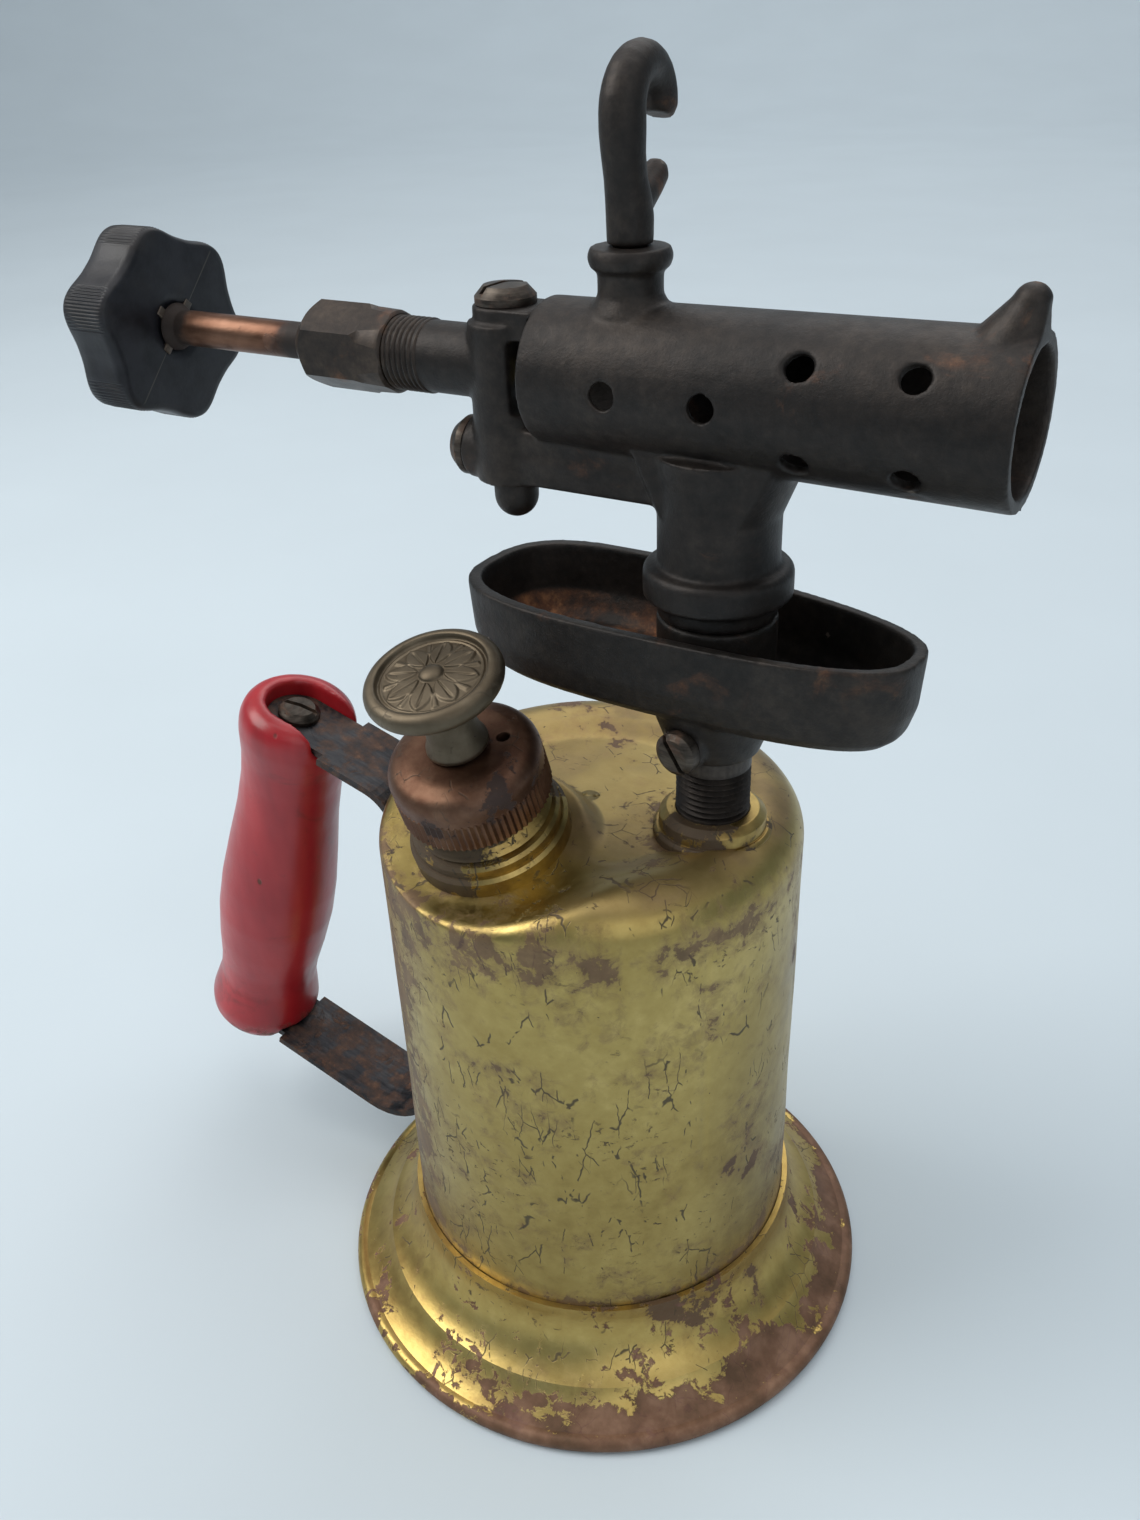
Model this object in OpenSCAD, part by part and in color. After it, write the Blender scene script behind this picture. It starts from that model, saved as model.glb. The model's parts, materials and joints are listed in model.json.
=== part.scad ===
// Hand blowtorch: brass tank with bottom filler, inclined hand pump,
// needle valve burner on a riser, priming pan, soldering iron hook, wooden grip.
// Frame: +Z up, +X the way the flame points, origin on the tank's axis where the base stands.

/* [Tank] */
// Outer diameter of the tank
tank_d = 101.6; // [98:0.2:105]
// Height of the crest of the shoulder above the bench
tank_top = 152.2; // [149:0.1:155]
// Radius of the rounded shoulder
shoulder_r = 10.9; // [9:0.1:12]
// Wall thickness of the tank
shell_t = 1; // [0.8:0.1:1.2]
// Depth of the dished top below the crest
dish_h = 2.8; // [2:0.1:3.2]

/* [Base] */
// Diameter over the rolled rim of the base
base_d = 144.2; // [140:0.2:150]
// Height of the base's collar on the tank wall
skirt_h = 29.2; // [28:0.1:31]

/* [Riser] */
// Distance of the riser from the tank's axis
riser_x = 32; // [31:0.1:33]
// Outer radius of the riser pipe
riser_r = 8.3; // [8:0.05:8.5]

/* [Burner] */
// Height of the flame tube's axis
burner_z = 249.5; // [248:0.1:251]
// X of the flame tube's rear face
tube_rear = -5.7; // [-6:0.1:-5]
// X of the muzzle
muzzle_x = 89.5; // [86:0.5:92]
// Outer radius of the flame tube at its rear
tube_r0 = 14.3; // [14:0.1:15]
// Outer radius of the flame tube at the muzzle
tube_r1 = 15.5; // [15:0.1:16]
// Radius of the flame tube's bore
tube_bore = 12.9; // [12:0.1:13]

/* [Valve] */
// Radius of the valve spindle
spindle_r = 4; // [3.8:0.05:4.1]
// X of the wheel's face towards the burner
wheel_x = -108.7; // [-112:0.1:-106]
// Thickness of the wheel
wheel_t = 13.6; // [12:0.1:15]
// Radius over the wheel's lobes
wheel_r = 22.7; // [21:0.1:24]

/* [Pump] */
// Lean of the pump from the vertical
pump_lean = 17; // [15:0.5:18]
// Compass direction of the lean
pump_dir = -98; // [-105:1:-92]
// Radius of the pump cap over its knurling
cap_r = 17.4; // [17:0.1:18]
// Radius of the pump knob
knob_r = 15.1; // [14:0.1:16]
// Stroke of the pump
pump_stroke = 70; // [60:1:72]

/* [Pan] */
// Length of the priming pan over its rim
pan_l = 105; // [100:1:108]
// Width of the priming pan over its rim
pan_w = 40; // [38:0.5:42]
// Height of the pan's rim
pan_rim = 203; // [202:0.5:204]
// Depth of the pan
pan_h = 19.5; // [18:0.5:21]

/* [Handle] */
// Slope of the strap's arms and lean of the grip
grip_lean = 17; // [15:0.5:18]
// Distance between the strap's arms along the grip
grip_l = 116; // [112:1:120]
// Width of the strap
strap_w = 22; // [20:0.5:23]
// Thickness of the strap
strap_t = 2; // [1.6:0.1:2.4]

/* [Hidden] */
$fn = 64;

tank_r = tank_d / 2;
tank_foot = 22;
dish_r = 30;
dish_z = tank_top - dish_h;
plate_z = 24;
plate_t = 1.2;
base_r = base_d / 2;

// Running fits, solder gaps and the smallest gap between pieces that move apart
fit = 0.05;
joint_gap = 0.1;

brass = [0.72, 0.60, 0.32];
dark_brass = [0.45, 0.36, 0.25];
iron = [0.16, 0.15, 0.15];
steel = [0.25, 0.24, 0.25];
leather = [0.45, 0.30, 0.18];
felt = [0.75, 0.70, 0.60];
bakelite = [0.10, 0.10, 0.11];
red_wood = [0.60, 0.08, 0.10];

// Points of an arc about c, from angle a0 to a1
function arc(c, r, a0, a1, n = 8) =
  [for (i = [0:n]) let (a = a0 + (a1 - a0) * i / n) [c[0] + r * cos(a), c[1] + r * sin(a)]];

// Zigzag of n thread turns between z0 and z1
function thread(crest, root, z0, z1, n) =
  [for (i = [0:n - 1]) let (p = (z1 - z0) / n, z = z0 + i * p) each [[root, z], [crest, z + p / 2]]];

// Reversed copy of a list
function rev(v) = [for (i = [len(v) - 1:-1:0]) v[i]];

// Oval of length l and width w whose sides are fuller than an ellipse's, narrower towards +X
function oval(l, w, power = 2.8, taper = 0.2, n = 64) =
  [for (i = [0:n - 1]) let (c = cos(360 * i / n), s = sin(360 * i / n), e = 2 / power, u = sign(c) * pow(abs(c), e))
    [u * l / 2, sign(s) * w / 2 * pow(abs(s), e) * (1 - taper * u)]];

// Tube swept along points p that stay in steps about the axis Z
function ring_at(c, a, slope, r, sides) =
  [for (k = [0:sides - 1]) let (t = 360 * k / sides)
    c + r * (cos(t) * [cos(a), sin(a), 0] + sin(t) * [sin(a) * sin(slope), -cos(a) * sin(slope), cos(slope)])];

module spin() { rotate_extrude() children(); }
module tube(r_out, r_in, z0, z1) {
  difference() {
    translate([0, 0, z0]) cylinder(h = z1 - z0, r = r_out);
    translate([0, 0, z0 - 1]) cylinder(h = z1 - z0 + 2, r = r_in);
  }
}
module rod(r, z0, z1) { translate([0, 0, z0]) cylinder(h = z1 - z0, r = r); }
module along_x(z = burner_z) { translate([0, 0, z]) rotate([0, 90, 0]) children(); }
module at_riser() { translate([riser_x, 0, 0]) children(); }
module slot_cut(length, width, depth) { translate([-length / 2, -width / 2, -depth]) cube([length, width, depth + 5]); }

// ---------- Tank ----------

module tank_shell() {
  outer = concat([[0, dish_z], [dish_r, dish_z]],
    arc([tank_r - shoulder_r, tank_top - shoulder_r], shoulder_r, 100, 0, 20), [[tank_r, tank_foot]]);
  inner = concat([[tank_r - shell_t, tank_foot]],
    arc([tank_r - shoulder_r, tank_top - shoulder_r], shoulder_r - shell_t, 0, 100, 20),
    [[dish_r, dish_z - shell_t], [0, dish_z - shell_t]]);
  color(brass) difference() {
    spin() polygon(concat(outer, inner));
    at_riser() rod(collar_flange_r + joint_gap, 130, 170);
    at_pump() rod(neck_r + joint_gap, neck_d0 - 6, 30);
  }
}

module tank_bottom() {
  rim_r = tank_r - shell_t - 0.05;
  color(brass) difference() {
    union() {
      rod(rim_r, plate_z, plate_z + plate_t);
      tube(rim_r, rim_r - plate_t, plate_z - 3, plate_z + plate_t);
    }
    rod(bushing_r + joint_gap, 0, 60);
  }
}

// Flared base: collar on the tank wall, cove, shoulder and rolled rim
module base_skirt() {
  t = 1.2;
  collar_r = tank_r + 1.5;
  cove = 17.7;
  cove_c = [collar_r + cove, 26.5];
  rim_z = 4.2;
  outer = concat([[collar_r, skirt_h]], arc(cove_c, cove, 180, 240, 16),
    [[base_r - 9, 8.2], [base_r - 5.5, 5.6], [base_r - 3, rim_z]],
    arc([base_r - 2.1, rim_z / 2], rim_z / 2, 90, -50, 7), [[base_r - 1, 0], [base_r - 3.4, 0]],
    arc([base_r - 3.2, rim_z / 2 - 0.6], 1.2, 230, 120, 4));
  inner = concat([[base_r - 6.2, 4.2], [base_r - 9.8, 6.9]],
    arc(cove_c, cove + t, 240, 180, 16), [[tank_r + joint_gap, 23], [tank_r + joint_gap, skirt_h]]);
  color(brass) spin() polygon(concat(outer, inner));
}

// ---------- Bottom filler ----------

bushing_r = 11;
filler_bore = 8;
filler_travel = 6;

module filler_bushing() {
  color(brass) difference() {
    union() {
      rod(bushing_r, 20, 31);
      rod(bushing_r + 2.5, 22.4, plate_z - joint_gap);
    }
    rod(filler_bore, 0, 60);
  }
}

module filler_gasket() { color(leather) tube(bushing_r - 0.2, filler_bore + 0.05, 18.05, 19.95); }

// Plug with a winged head for the fingers, clear of the bench when it is screwed out
module filler_plug() {
  head_r = 11.4;
  color(dark_brass) union() {
    spin() polygon(concat([[0, 17], [filler_bore - fit, 17]],
      thread(filler_bore - fit, filler_bore - 0.8, 19, 29.5, 7), [[filler_bore - 1, 30], [0, 30]]));
    spin() polygon([[0, 13.5], [head_r - 1, 13.5], [head_r, 14.5], [head_r, 18], [0, 18]]);
    difference() {
      translate([-head_r + 1, -2, 7.5]) cube([2 * head_r - 2, 4, 7]);
      translate([0, 3, 6.5]) rotate([90, 0, 0]) cylinder(h = 6, r = 4);
    }
  }
}

// ---------- Pump: drawn upright along its own axis, which starts at the tank's top ----------

pump_at = [-12.5, -23.5, 149];
neck_r = 18.6;
neck_d0 = -9;
thread_r = 15.9;
neck_bore = 14.7;
tube_out = 14.6;
tube_in = 13.6;
tube_foot = -92;
rod_r = 3;
knob_top = 49.7;

module at_pump() { translate(pump_at) rotate([0, pump_lean, pump_dir]) children(); }

module pump_neck() {
  color(brass) at_pump() spin() polygon(concat(
    [[neck_bore, neck_d0], [neck_r, neck_d0], [neck_r, 3.4], [neck_r - 0.8, 4.2], [neck_r - 1.3, 4.2],
     [neck_r - 1.3, 6.2], [neck_r - 2, 7]],
    thread(thread_r, thread_r - 0.9, 7.3, 21, 8), [[thread_r - 1, 22], [neck_bore, 22]]));
}

module pump_tube() { color(brass) at_pump() tube(tube_out, tube_in, tube_foot, 19.5); }

valve_r = 5;
module pump_foot() {
  color(brass) at_pump() difference() {
    union() {
      rod(tube_out, tube_foot - 8, tube_foot - joint_gap);
      rod(tube_in - joint_gap, tube_foot - 1, tube_foot + 4);
      rod(valve_r + 3.5, tube_foot - 20, tube_foot - 7);
    }
    rod(2, tube_foot - 12, tube_foot + 10);
    rod(valve_r, tube_foot - 25, tube_foot - 9);
  }
}

// Non-return valve: disc and stem, pressed up on its seat by the spring
module check_poppet() {
  seat = tube_foot - 9;
  color(dark_brass) at_pump() union() {
    rod(4.2, seat - 2, seat - fit);
    rod(1.2, seat - 6, seat - 1);
  }
}

module check_spring() {
  turns = 4;
  per = 12;
  sides = 6;
  coil = 2.9;
  wire = 0.35;
  top = tube_foot - 11.5;
  drop = 5;
  n = turns * per;
  slope = atan(drop / (turns * 2 * PI * coil));
  pts = [for (i = [0:n]) let (a = 360 * i / per)
    each ring_at([coil * cos(a), coil * sin(a), top - drop * i / n], a, -slope, wire, sides)];
  sides_f = [for (i = [0:n - 1], k = [0:sides - 1])
    [i * sides + k, i * sides + (k + 1) % sides, (i + 1) * sides + (k + 1) % sides, (i + 1) * sides + k]];
  caps = [[for (k = [sides - 1:-1:0]) k], [for (k = [0:sides - 1]) n * sides + k]];
  color(steel) at_pump() polyhedron(pts, concat(sides_f, caps));
}

module valve_retainer() { color(dark_brass) at_pump() tube(valve_r - joint_gap, 2, tube_foot - 20, tube_foot - 17.2); }

// Knurled cap with a domed top, an air hole and the rod's guide
module pump_cap() {
  teeth = 72;
  band = [for (i = [0:2 * teeth - 1]) let (a = 180 * i / teeth, r = cap_r - (i % 2) * 0.5) [r * cos(a), r * sin(a)]];
  color(dark_brass) at_pump() difference() {
    union() {
      translate([0, 0, 13.6]) linear_extrude(7) polygon(band);
      spin() polygon(concat([[0, 20], [cap_r - 0.3, 20]],
        arc([cap_r - 4.3, 23.4], 4.2, 5, 75, 6), [[cap_r - 5.5, 28.2], [0, 28.6]]));
    }
    rod(thread_r + joint_gap, 0, 24);
    rod(rod_r + fit, 20, 40);
    rotate([0, 0, 130]) translate([9.8, 0, 20]) cylinder(h = 12, r = 1.5);
  }
}

module cap_washer() { color(felt) at_pump() tube(13.8, rod_r + fit, 20.2, 23.7); }

module pump_rod() { color(steel) at_pump() rod(rod_r, -86, 38); }

module plunger_cup() {
  r = tube_in - fit;
  color(leather) at_pump() spin() polygon(
    [[rod_r + joint_gap, -77.6], [rod_r + joint_gap, -79], [r - 2.2, -79], [r - 1.8, -84], [r - 0.5, -84], [r, -83], [r, -78.6], [r - 1, -77.6]]);
}

module plunger_washers() {
  color(dark_brass) at_pump() union() {
    tube(10, rod_r + joint_gap, -77.5, -76);
    tube(9, rod_r + joint_gap, -80.6, -79.1);
  }
}

module plunger_nuts() {
  color(steel) at_pump() for (d = [-75.9, -84.1]) difference() {
    translate([0, 0, d]) cylinder(h = 3.4, r = 6, $fn = 6);
    rod(rod_r + joint_gap, d - 1, d + 5);
  }
}

// Push knob: flared stalk and a dished disc with a rim and a middle stud
module pump_knob() {
  color(dark_brass) at_pump() difference() {
    spin() polygon(concat(
      [[0, 28.9], [7, 28.9], [7, 30], [5.9, 32.5], [5.7, 40], [7.5, 43.2], [knob_r - 3, 44.6]],
      arc([knob_r - 2.2, knob_top - 2.5], 2.4, -70, 100, 7),
      [[knob_r - 3.4, knob_top - 1], [3, knob_top - 1], [2.6, knob_top - 0.2], [0, knob_top - 0.1]]));
    rod(rod_r + fit, 20, 38.6);
  }
}

// ---------- Riser and priming pan ----------

collar_flange_r = 13.5;
collar_r = 12.1;

module riser_collar() {
  color(brass) at_riser() spin() polygon(
    [[riser_r + fit, 145.5], [collar_flange_r, 145.5], [collar_flange_r, 151.2], [collar_flange_r - 0.7, 151.9],
     [collar_r, 151.9], [collar_r, 154.6], [collar_r - 1.6, 156.1], [riser_r + fit, 156.1]]);
}

module riser_pipe() {
  color(iron) at_riser() spin() polygon(concat(
    [[5.2, 146], [riser_r, 146], [riser_r, 156.6]], thread(riser_r, riser_r - 1, 157, 168.5, 8),
    [[riser_r, 168.8], [riser_r, 221], [5.2, 221]]));
}

module supply_tube() { color(brass) at_riser() tube(5.1, 4.2, 31, 160); }

module wick() { color(felt) at_riser() rod(4.1, 28.5, 190); }

pan_turn = -5.2;
pan_mid = [-8.5, 1.6, 0];
hub_r = 12.6;

// Stack of ovals: each level is [height, share of the length, share of the width]
module tray(levels, l, w) {
  rotate([0, 0, pan_turn]) translate(pan_mid) hull()
    for (s = levels) translate([0, 0, s[0]]) linear_extrude(0.3) polygon(oval(l * s[1], w * s[2]));
}

// Tray with a hub that slips over the riser and a boss for the clamp screw
module priming_pan() {
  wall = 2.7;
  floor_z = pan_rim - pan_h;
  difference() {
    color(iron) at_riser() union() {
      difference() {
        tray([[pan_rim - 0.3, 1, 1], [pan_rim - pan_h * 0.6, 0.985, 0.97], [floor_z + 2.5, 0.955, 0.9], [floor_z, 0.9, 0.78]],
          pan_l, pan_w);
        tray([[pan_rim + 1, 1, 1], [pan_rim - pan_h * 0.55, 0.98, 0.96], [floor_z + wall + 2, 0.94, 0.86],
          [floor_z + wall, 0.88, 0.74]], pan_l - 2 * wall, pan_w - 2 * wall);
      }
      rod(hub_r, floor_z + 0.5, 203.8);
      translate([0, 0, 171.8]) cylinder(h = floor_z - 171, r1 = 9.9, r2 = 14.5);
      rotate([0, 0, screw_dir]) translate([0, 0, screw_z]) rotate([0, 90, 0]) cylinder(h = 12.6, r = 5);
    }
    at_riser() {
      rod(riser_r + fit, 160, 210);
      rotate([0, 0, screw_dir]) translate([0, 0, screw_z]) rotate([0, 90, 0]) cylinder(h = 30, r = 2.05);
      rotate([0, 0, screw_dir]) translate([0, 0, screw_z]) rotate([0, 90, 0]) rod(5.15, 12.5, 20);
    }
  }
}

screw_dir = -99;
screw_z = 176.4;
module pan_screw() {
  color(steel) at_riser() rotate([0, 0, screw_dir]) translate([0, 0, screw_z]) rotate([0, 90, 0]) difference() {
    union() {
      rod(2, riser_r + 0.1, 14);
      rod(4.8, 12.8, 15);
      translate([0, 0, 15]) cylinder(h = 0.9, r1 = 4.8, r2 = 3.6);
    }
    translate([0, 0, 15.9]) rotate([0, 0, 35]) slot_cut(12, 1.1, 1.5);
  }
}

// ---------- Burner ----------

column_x = -15.7;
column_r = 8.2;
low_z = 231.5;
low_r = 6.7;
window = [-11.6, 241, 255.8];
hook_x = 12.6;
stub_r = 12.5;
passage_r = 2.4;
near_holes = [13.5, 34];
far_holes = [51.5, 72];

module burner_body() {
  color(iron) difference() {
    union() {
      along_x() translate([0, 0, tube_rear]) cylinder(h = muzzle_x - tube_rear, r1 = tube_r0, r2 = tube_r1);
      along_x() spin_neck();
      along_x(low_z) rod(low_r, -25.2, riser_x);
      translate([column_x, 0, 0]) {
        rod(column_r, 226, 258.5);
        rod(6.9, 250, 261.8);
        rod(4.8, 222, 230);
        translate([0, 0, 222]) sphere(r = 4.8);
      }
      translate([column_x, -6.5, 256]) cube([hook_x - column_x, 13, 5.8]);
      translate([column_x, -6.4, 226.5]) cube([riser_x - column_x, 12.8, 11.5]);
      intersection() {
        at_riser() translate([0, 0, 225]) cylinder(h = 13, r1 = stub_r - 0.2, r2 = stub_r + 5);
        translate([0, -10, 225]) cube([60, 20, 13]);
      }
      at_riser() spin() polygon([[0, 204], [stub_r, 204], [stub_r, 207.6], [15.4, 208.4], [15.4, 213.6],
        [14.6, 214.6], [stub_r, 215], [stub_r, 232], [stub_r + 1, 238], [0, 240]]);
      translate([hook_x, 0, 0]) spin() polygon([[0, 258], [8, 258], [8, 262.5], [6.3, 265.5], [6.3, 269.6],
        [7.6, 270.4], [8.2, 272.2], [7.6, 274], [0, 274.2]]);
      translate([muzzle_x - 5.6, 0, 260]) rotate([0, 16, 0]) {
        cylinder(h = 9.6, r1 = 8.4, r2 = 3.3);
        translate([0, 0, 9.6]) sphere(r = 3.3);
      }
    }
    along_x() translate([0, 0, tube_rear - 1]) cylinder(h = muzzle_x - tube_rear + 2, r = tube_bore);
    translate([window[0], -20, window[1]]) cube([tube_rear - window[0] + 0.02, 40, window[2] - window[1]]);
    for (x = near_holes, a = [0, 180]) side_hole(x, a);
    for (x = far_holes, a = [36, -36, 144, 216]) side_hole(x, a);
    along_x() {
      rod(spindle_r + fit, -60, -31);
      rod(passage_r, -32, -13);
      rod(3.55, -14.2, -7);
    }
    along_x(low_z) rod(passage_r, -40, riser_x);
    translate([column_x, 0, 0]) rod(passage_r, 224, 280);
    translate([hook_x, 0, 0]) rod(3.05, 265.5, 280);
    at_riser() {
      rod(riser_r + fit, 190, 222);
      rod(3, 215, low_z);
    }
    translate([muzzle_x, -20, 240]) cube([10, 40, 30]);
  }
}

module side_hole(x, a) {
  translate([x, 0, burner_z]) rotate([a - 90 + 180, 0, 0]) cylinder(h = 30, r = 2.65);
}

module spin_neck() {
  spin() polygon(concat([[0, -46]], thread(7.5, 6.9, -46, -36, 9), [[7.4, -35.6], [7.4, -20], [0, -20]]));
}

module jet_nozzle() {
  color(dark_brass) along_x() difference() {
    union() {
      rod(3.5, -14, -11.5);
      translate([0, 0, -11.55]) cylinder(h = 2, r = 4.6, $fn = 6);
      translate([0, 0, -9.6]) cylinder(h = 1.8, r1 = 3.2, r2 = 1.9);
    }
    rod(2, -15, -9);
    rod(0.4, -10, 0);
  }
}

module screw_head(r, h) {
  spin() polygon([[0, 0], [r, 0], [r, h * 0.35], [r * 0.72, h * 0.85], [0, h]]);
}

module passage_screw() {
  color(steel) translate([column_x, 0, 0]) difference() {
    union() {
      rod(2.3, 254, 262.5);
      translate([0, 0, 261.9]) screw_head(6.3, 4);
    }
    translate([0, 0, 265.9]) rotate([0, 0, 62]) slot_cut(16, 1.3, 1.9);
  }
}

module rear_plug() {
  color(iron) along_x(low_z) difference() {
    union() {
      rod(2.3, -27, -20);
      rotate([180, 0, 0]) translate([0, 0, 25.3]) screw_head(6.3, 4.6);
    }
    rotate([180, 0, 0]) translate([0, 0, 29.9]) rotate([0, 0, 20]) slot_cut(16, 1.3, 1.6);
  }
}

nut_across = 9.55;
module packing_nut() {
  color(dark_brass) along_x() difference() {
    intersection() {
      translate([0, 0, -68]) cylinder(h = 27, r = nut_across, $fn = 6);
      spin() polygon([[0, -68], [5.4, -68], [nut_across + 0.1, -63.4], [nut_across + 0.1, -50.6],
        [8.9, -49], [8.6, -43.5], [8, -43], [0, -43]]);
    }
    rod(spindle_r + fit, -80, -40);
    rod(7.55, -50, -40);
  }
}

module packing_ring() { color(felt) along_x() tube(7.2, spindle_r + fit, -49.8, -46.2); }

module needle_tip() {
  color(dark_brass) along_x() spin() polygon([[0, -36], [1.6, -36], [1.6, -12.3], [0.3, -9.1], [0, -9.1]]);
}

module valve_spindle() {
  color([0.50, 0.32, 0.22]) along_x() difference() {
    union() {
      rod(spindle_r, wheel_x - wheel_t + 1.5, -34);
      translate([0, 0, wheel_x + 0.1]) cylinder(h = 2.5, r1 = 5.4, r2 = spindle_r);
    }
    rod(1.65, -36.5, -30);
    rod(1.5, wheel_x - wheel_t, wheel_x - wheel_t + 8);
  }
}

// Wheel with six lobes
lobe_turn = 39;
module valve_wheel() {
  n = 120;
  dip = 1.4;
  outline = [for (i = [0:n - 1]) let (a = 360 * i / n, r = wheel_r - dip + dip * cos(6 * a)) [r * cos(a), r * sin(a)]];
  color(bakelite) translate([wheel_x - wheel_t, 0, burner_z]) rotate([90, 0, 90]) rotate([0, 0, lobe_turn])
    difference() {
      linear_extrude(wheel_t) polygon(outline);
      rod(spindle_r + fit, -1, wheel_t + 1);
      rod(7.5, -1, 1.4);
    }
}

module wheel_screw() {
  color(steel) translate([wheel_x - wheel_t, 0, burner_z]) rotate([0, -90, 0]) difference() {
    union() {
      rod(1.45, -7, -1);
      translate([0, 0, -1.3]) screw_head(5.6, 2.6);
    }
    translate([0, 0, 1.3]) slot_cut(14, 1, 1.1);
  }
}

// Hook for a soldering iron: stud, stem, back, top bend and a spur that cradles the iron
hook_dir = 91;
hook_bend = 7.5;
hook_back = -2.5;
hook_mid = 296.5;

// The hook's middle line, each point as [across, height, radius]
function hook_line() = concat(
  [[0, 266, 3], [0, 274.3, 3], [0, 274.5, 4.4], [0, 279, 4.5], [-0.6, 282.5, 4.3], [-1.6, 286, 4],
   [-2.3, 290, 4.1], [hook_back, 293.5, 4.3]],
  [for (i = [0:12]) let (a = 180 - 15 * i)
    [hook_back + hook_bend * (1 + cos(a)), hook_mid + hook_bend * sin(a), 4.3 - 0.07 * i]],
  [[hook_back + 2 * hook_bend - 0.6, hook_mid - 1.6, 2.8]]);

// Direction of the line at point i
function heading(v, i) = let (a = v[max(i - 1, 0)], b = v[min(i + 1, len(v) - 1)], d = [b[0] - a[0], b[1] - a[1]]) d / norm(d);

module bent_bar(line, sides) {
  n = len(line) - 1;
  pts = [for (i = [0:n]) let (d = heading(line, i)) for (k = [0:sides - 1]) let (t = 360 * k / sides, r = line[i][2])
    [line[i][0] + r * cos(t) * d[1], r * sin(t), line[i][1] - r * cos(t) * d[0]]];
  walls = [for (i = [0:n - 1], k = [0:sides - 1])
    [i * sides + k, (i + 1) * sides + k, (i + 1) * sides + (k + 1) % sides, i * sides + (k + 1) % sides]];
  polyhedron(pts, concat(walls, [[for (k = [0:sides - 1]) k], [for (k = [sides - 1:-1:0]) n * sides + k]]));
}

module iron_hook() {
  color(iron) translate([hook_x, 0, 0]) rotate([0, 0, hook_dir]) union() {
    bent_bar(hook_line(), 24);
    bent_bar([[1, 280.5, 3.6], [4.5, 282, 3.2], [8, 283.6, 2.9], [10.8, 285.3, 2.7], [12, 286.8, 1.8]], 16);
  }
}

// ---------- Handle: drawn along the grip's axis, from the upper arm downwards ----------

grip_top = [-90, 0, 148.6];
leg_x = -tank_r - 0.4 - strap_t / 2;
low_bend = 18;
top_bend = 12;
tongue_w = 17;

module at_grip() { translate(grip_top) rotate([0, grip_lean, 0]) children(); }

// Height of a bend's centre, so that the bend of radius r is tangent to the leg and to an arm through p
function bend_z(p, r, side) = p[1] + (side * r - (leg_x - r - p[0]) * sin(grip_lean)) / cos(grip_lean);

arm_top = [grip_top[0], grip_top[2]];
arm_low = [grip_top[0] - grip_l * sin(grip_lean), grip_top[2] - grip_l * cos(grip_lean)];
top_c = [leg_x - top_bend, bend_z(arm_top, top_bend, -1)];
low_c = [leg_x - low_bend, bend_z(arm_low, low_bend, 1)];
shoulder = 15;

function on_arm(p, s) = [p[0] + s * cos(grip_lean), p[1] - s * sin(grip_lean)];
function band(h) = concat(
  [on_arm(arm_top, shoulder) + h * [sin(grip_lean), cos(grip_lean)]],
  arc(top_c, top_bend + h, 90 - grip_lean, 0, 8),
  arc(low_c, low_bend + h, 0, -90 - grip_lean, 10),
  [on_arm(arm_low, shoulder) - h * [sin(grip_lean), cos(grip_lean)]]);

module tongue(z) {
  translate([0, 0, z - strap_t / 2]) difference() {
    union() {
      cylinder(h = strap_t, r = tongue_w / 2);
      translate([0, -tongue_w / 2, 0]) cube([shoulder + 0.3, tongue_w, strap_t]);
    }
    rod(2.6, -1, strap_t + 1);
  }
}

module handle_strap() {
  color(steel) union() {
    translate([0, strap_w / 2, 0]) rotate([90, 0, 0]) linear_extrude(strap_w)
      polygon(concat(band(strap_t / 2), rev(band(-strap_t / 2))));
    at_grip() {
      tongue(0);
      tongue(-grip_l);
    }
  }
}

// Turned outline of the grip: [distance above the upper arm, radius]
GRIP = [[5.6, 10.6], [4.9, 12.8], [3, 14.7], [0, 15.7], [-4, 15.7], [-12, 14.4], [-20, 13.9], [-32, 14.3],
  [-46, 15.6], [-60, 16.7], [-72, 16.9], [-84, 16], [-94, 14.8], [-101, 14.6], [-107, 15.7], [-112, 16.6],
  [-116, 16.2], [-119.5, 14.2], [-121.5, 11]];

module grip() {
  color(red_wood) at_grip() difference() {
    spin() polygon(concat([[0, GRIP[0][0]]], [for (g = GRIP) [g[1], g[0]]], [[0, GRIP[len(GRIP) - 1][0]]]));
    for (s = [[-strap_t / 2 - joint_gap, 12], [-grip_l + strap_t / 2 + joint_gap - 12, 12]]) translate([0, 0, s[0]]) {
      cylinder(h = s[1], r = tongue_w / 2 + 0.5);
      translate([0, -tongue_w / 2 - 0.5, 0]) cube([20, tongue_w + 1, s[1]]);
    }
    rod(2.6, -130, 20);
  }
}

module handle_bolt() {
  color(steel) at_grip() difference() {
    union() {
      rod(2.5, -grip_l - 5, 2);
      translate([0, 0, strap_t / 2 + 0.05]) screw_head(5.6, 3.2);
    }
    translate([0, 0, strap_t / 2 + 3.25]) rotate([0, 0, 15]) slot_cut(14, 1.3, 1.4);
  }
}

module handle_nut() {
  color(steel) at_grip() difference() {
    translate([-4.5, -4.5, -grip_l - strap_t / 2 - 3.5]) cube([9, 9, 3.4]);
    rod(2.55, -grip_l - 10, -grip_l);
  }
}

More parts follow.
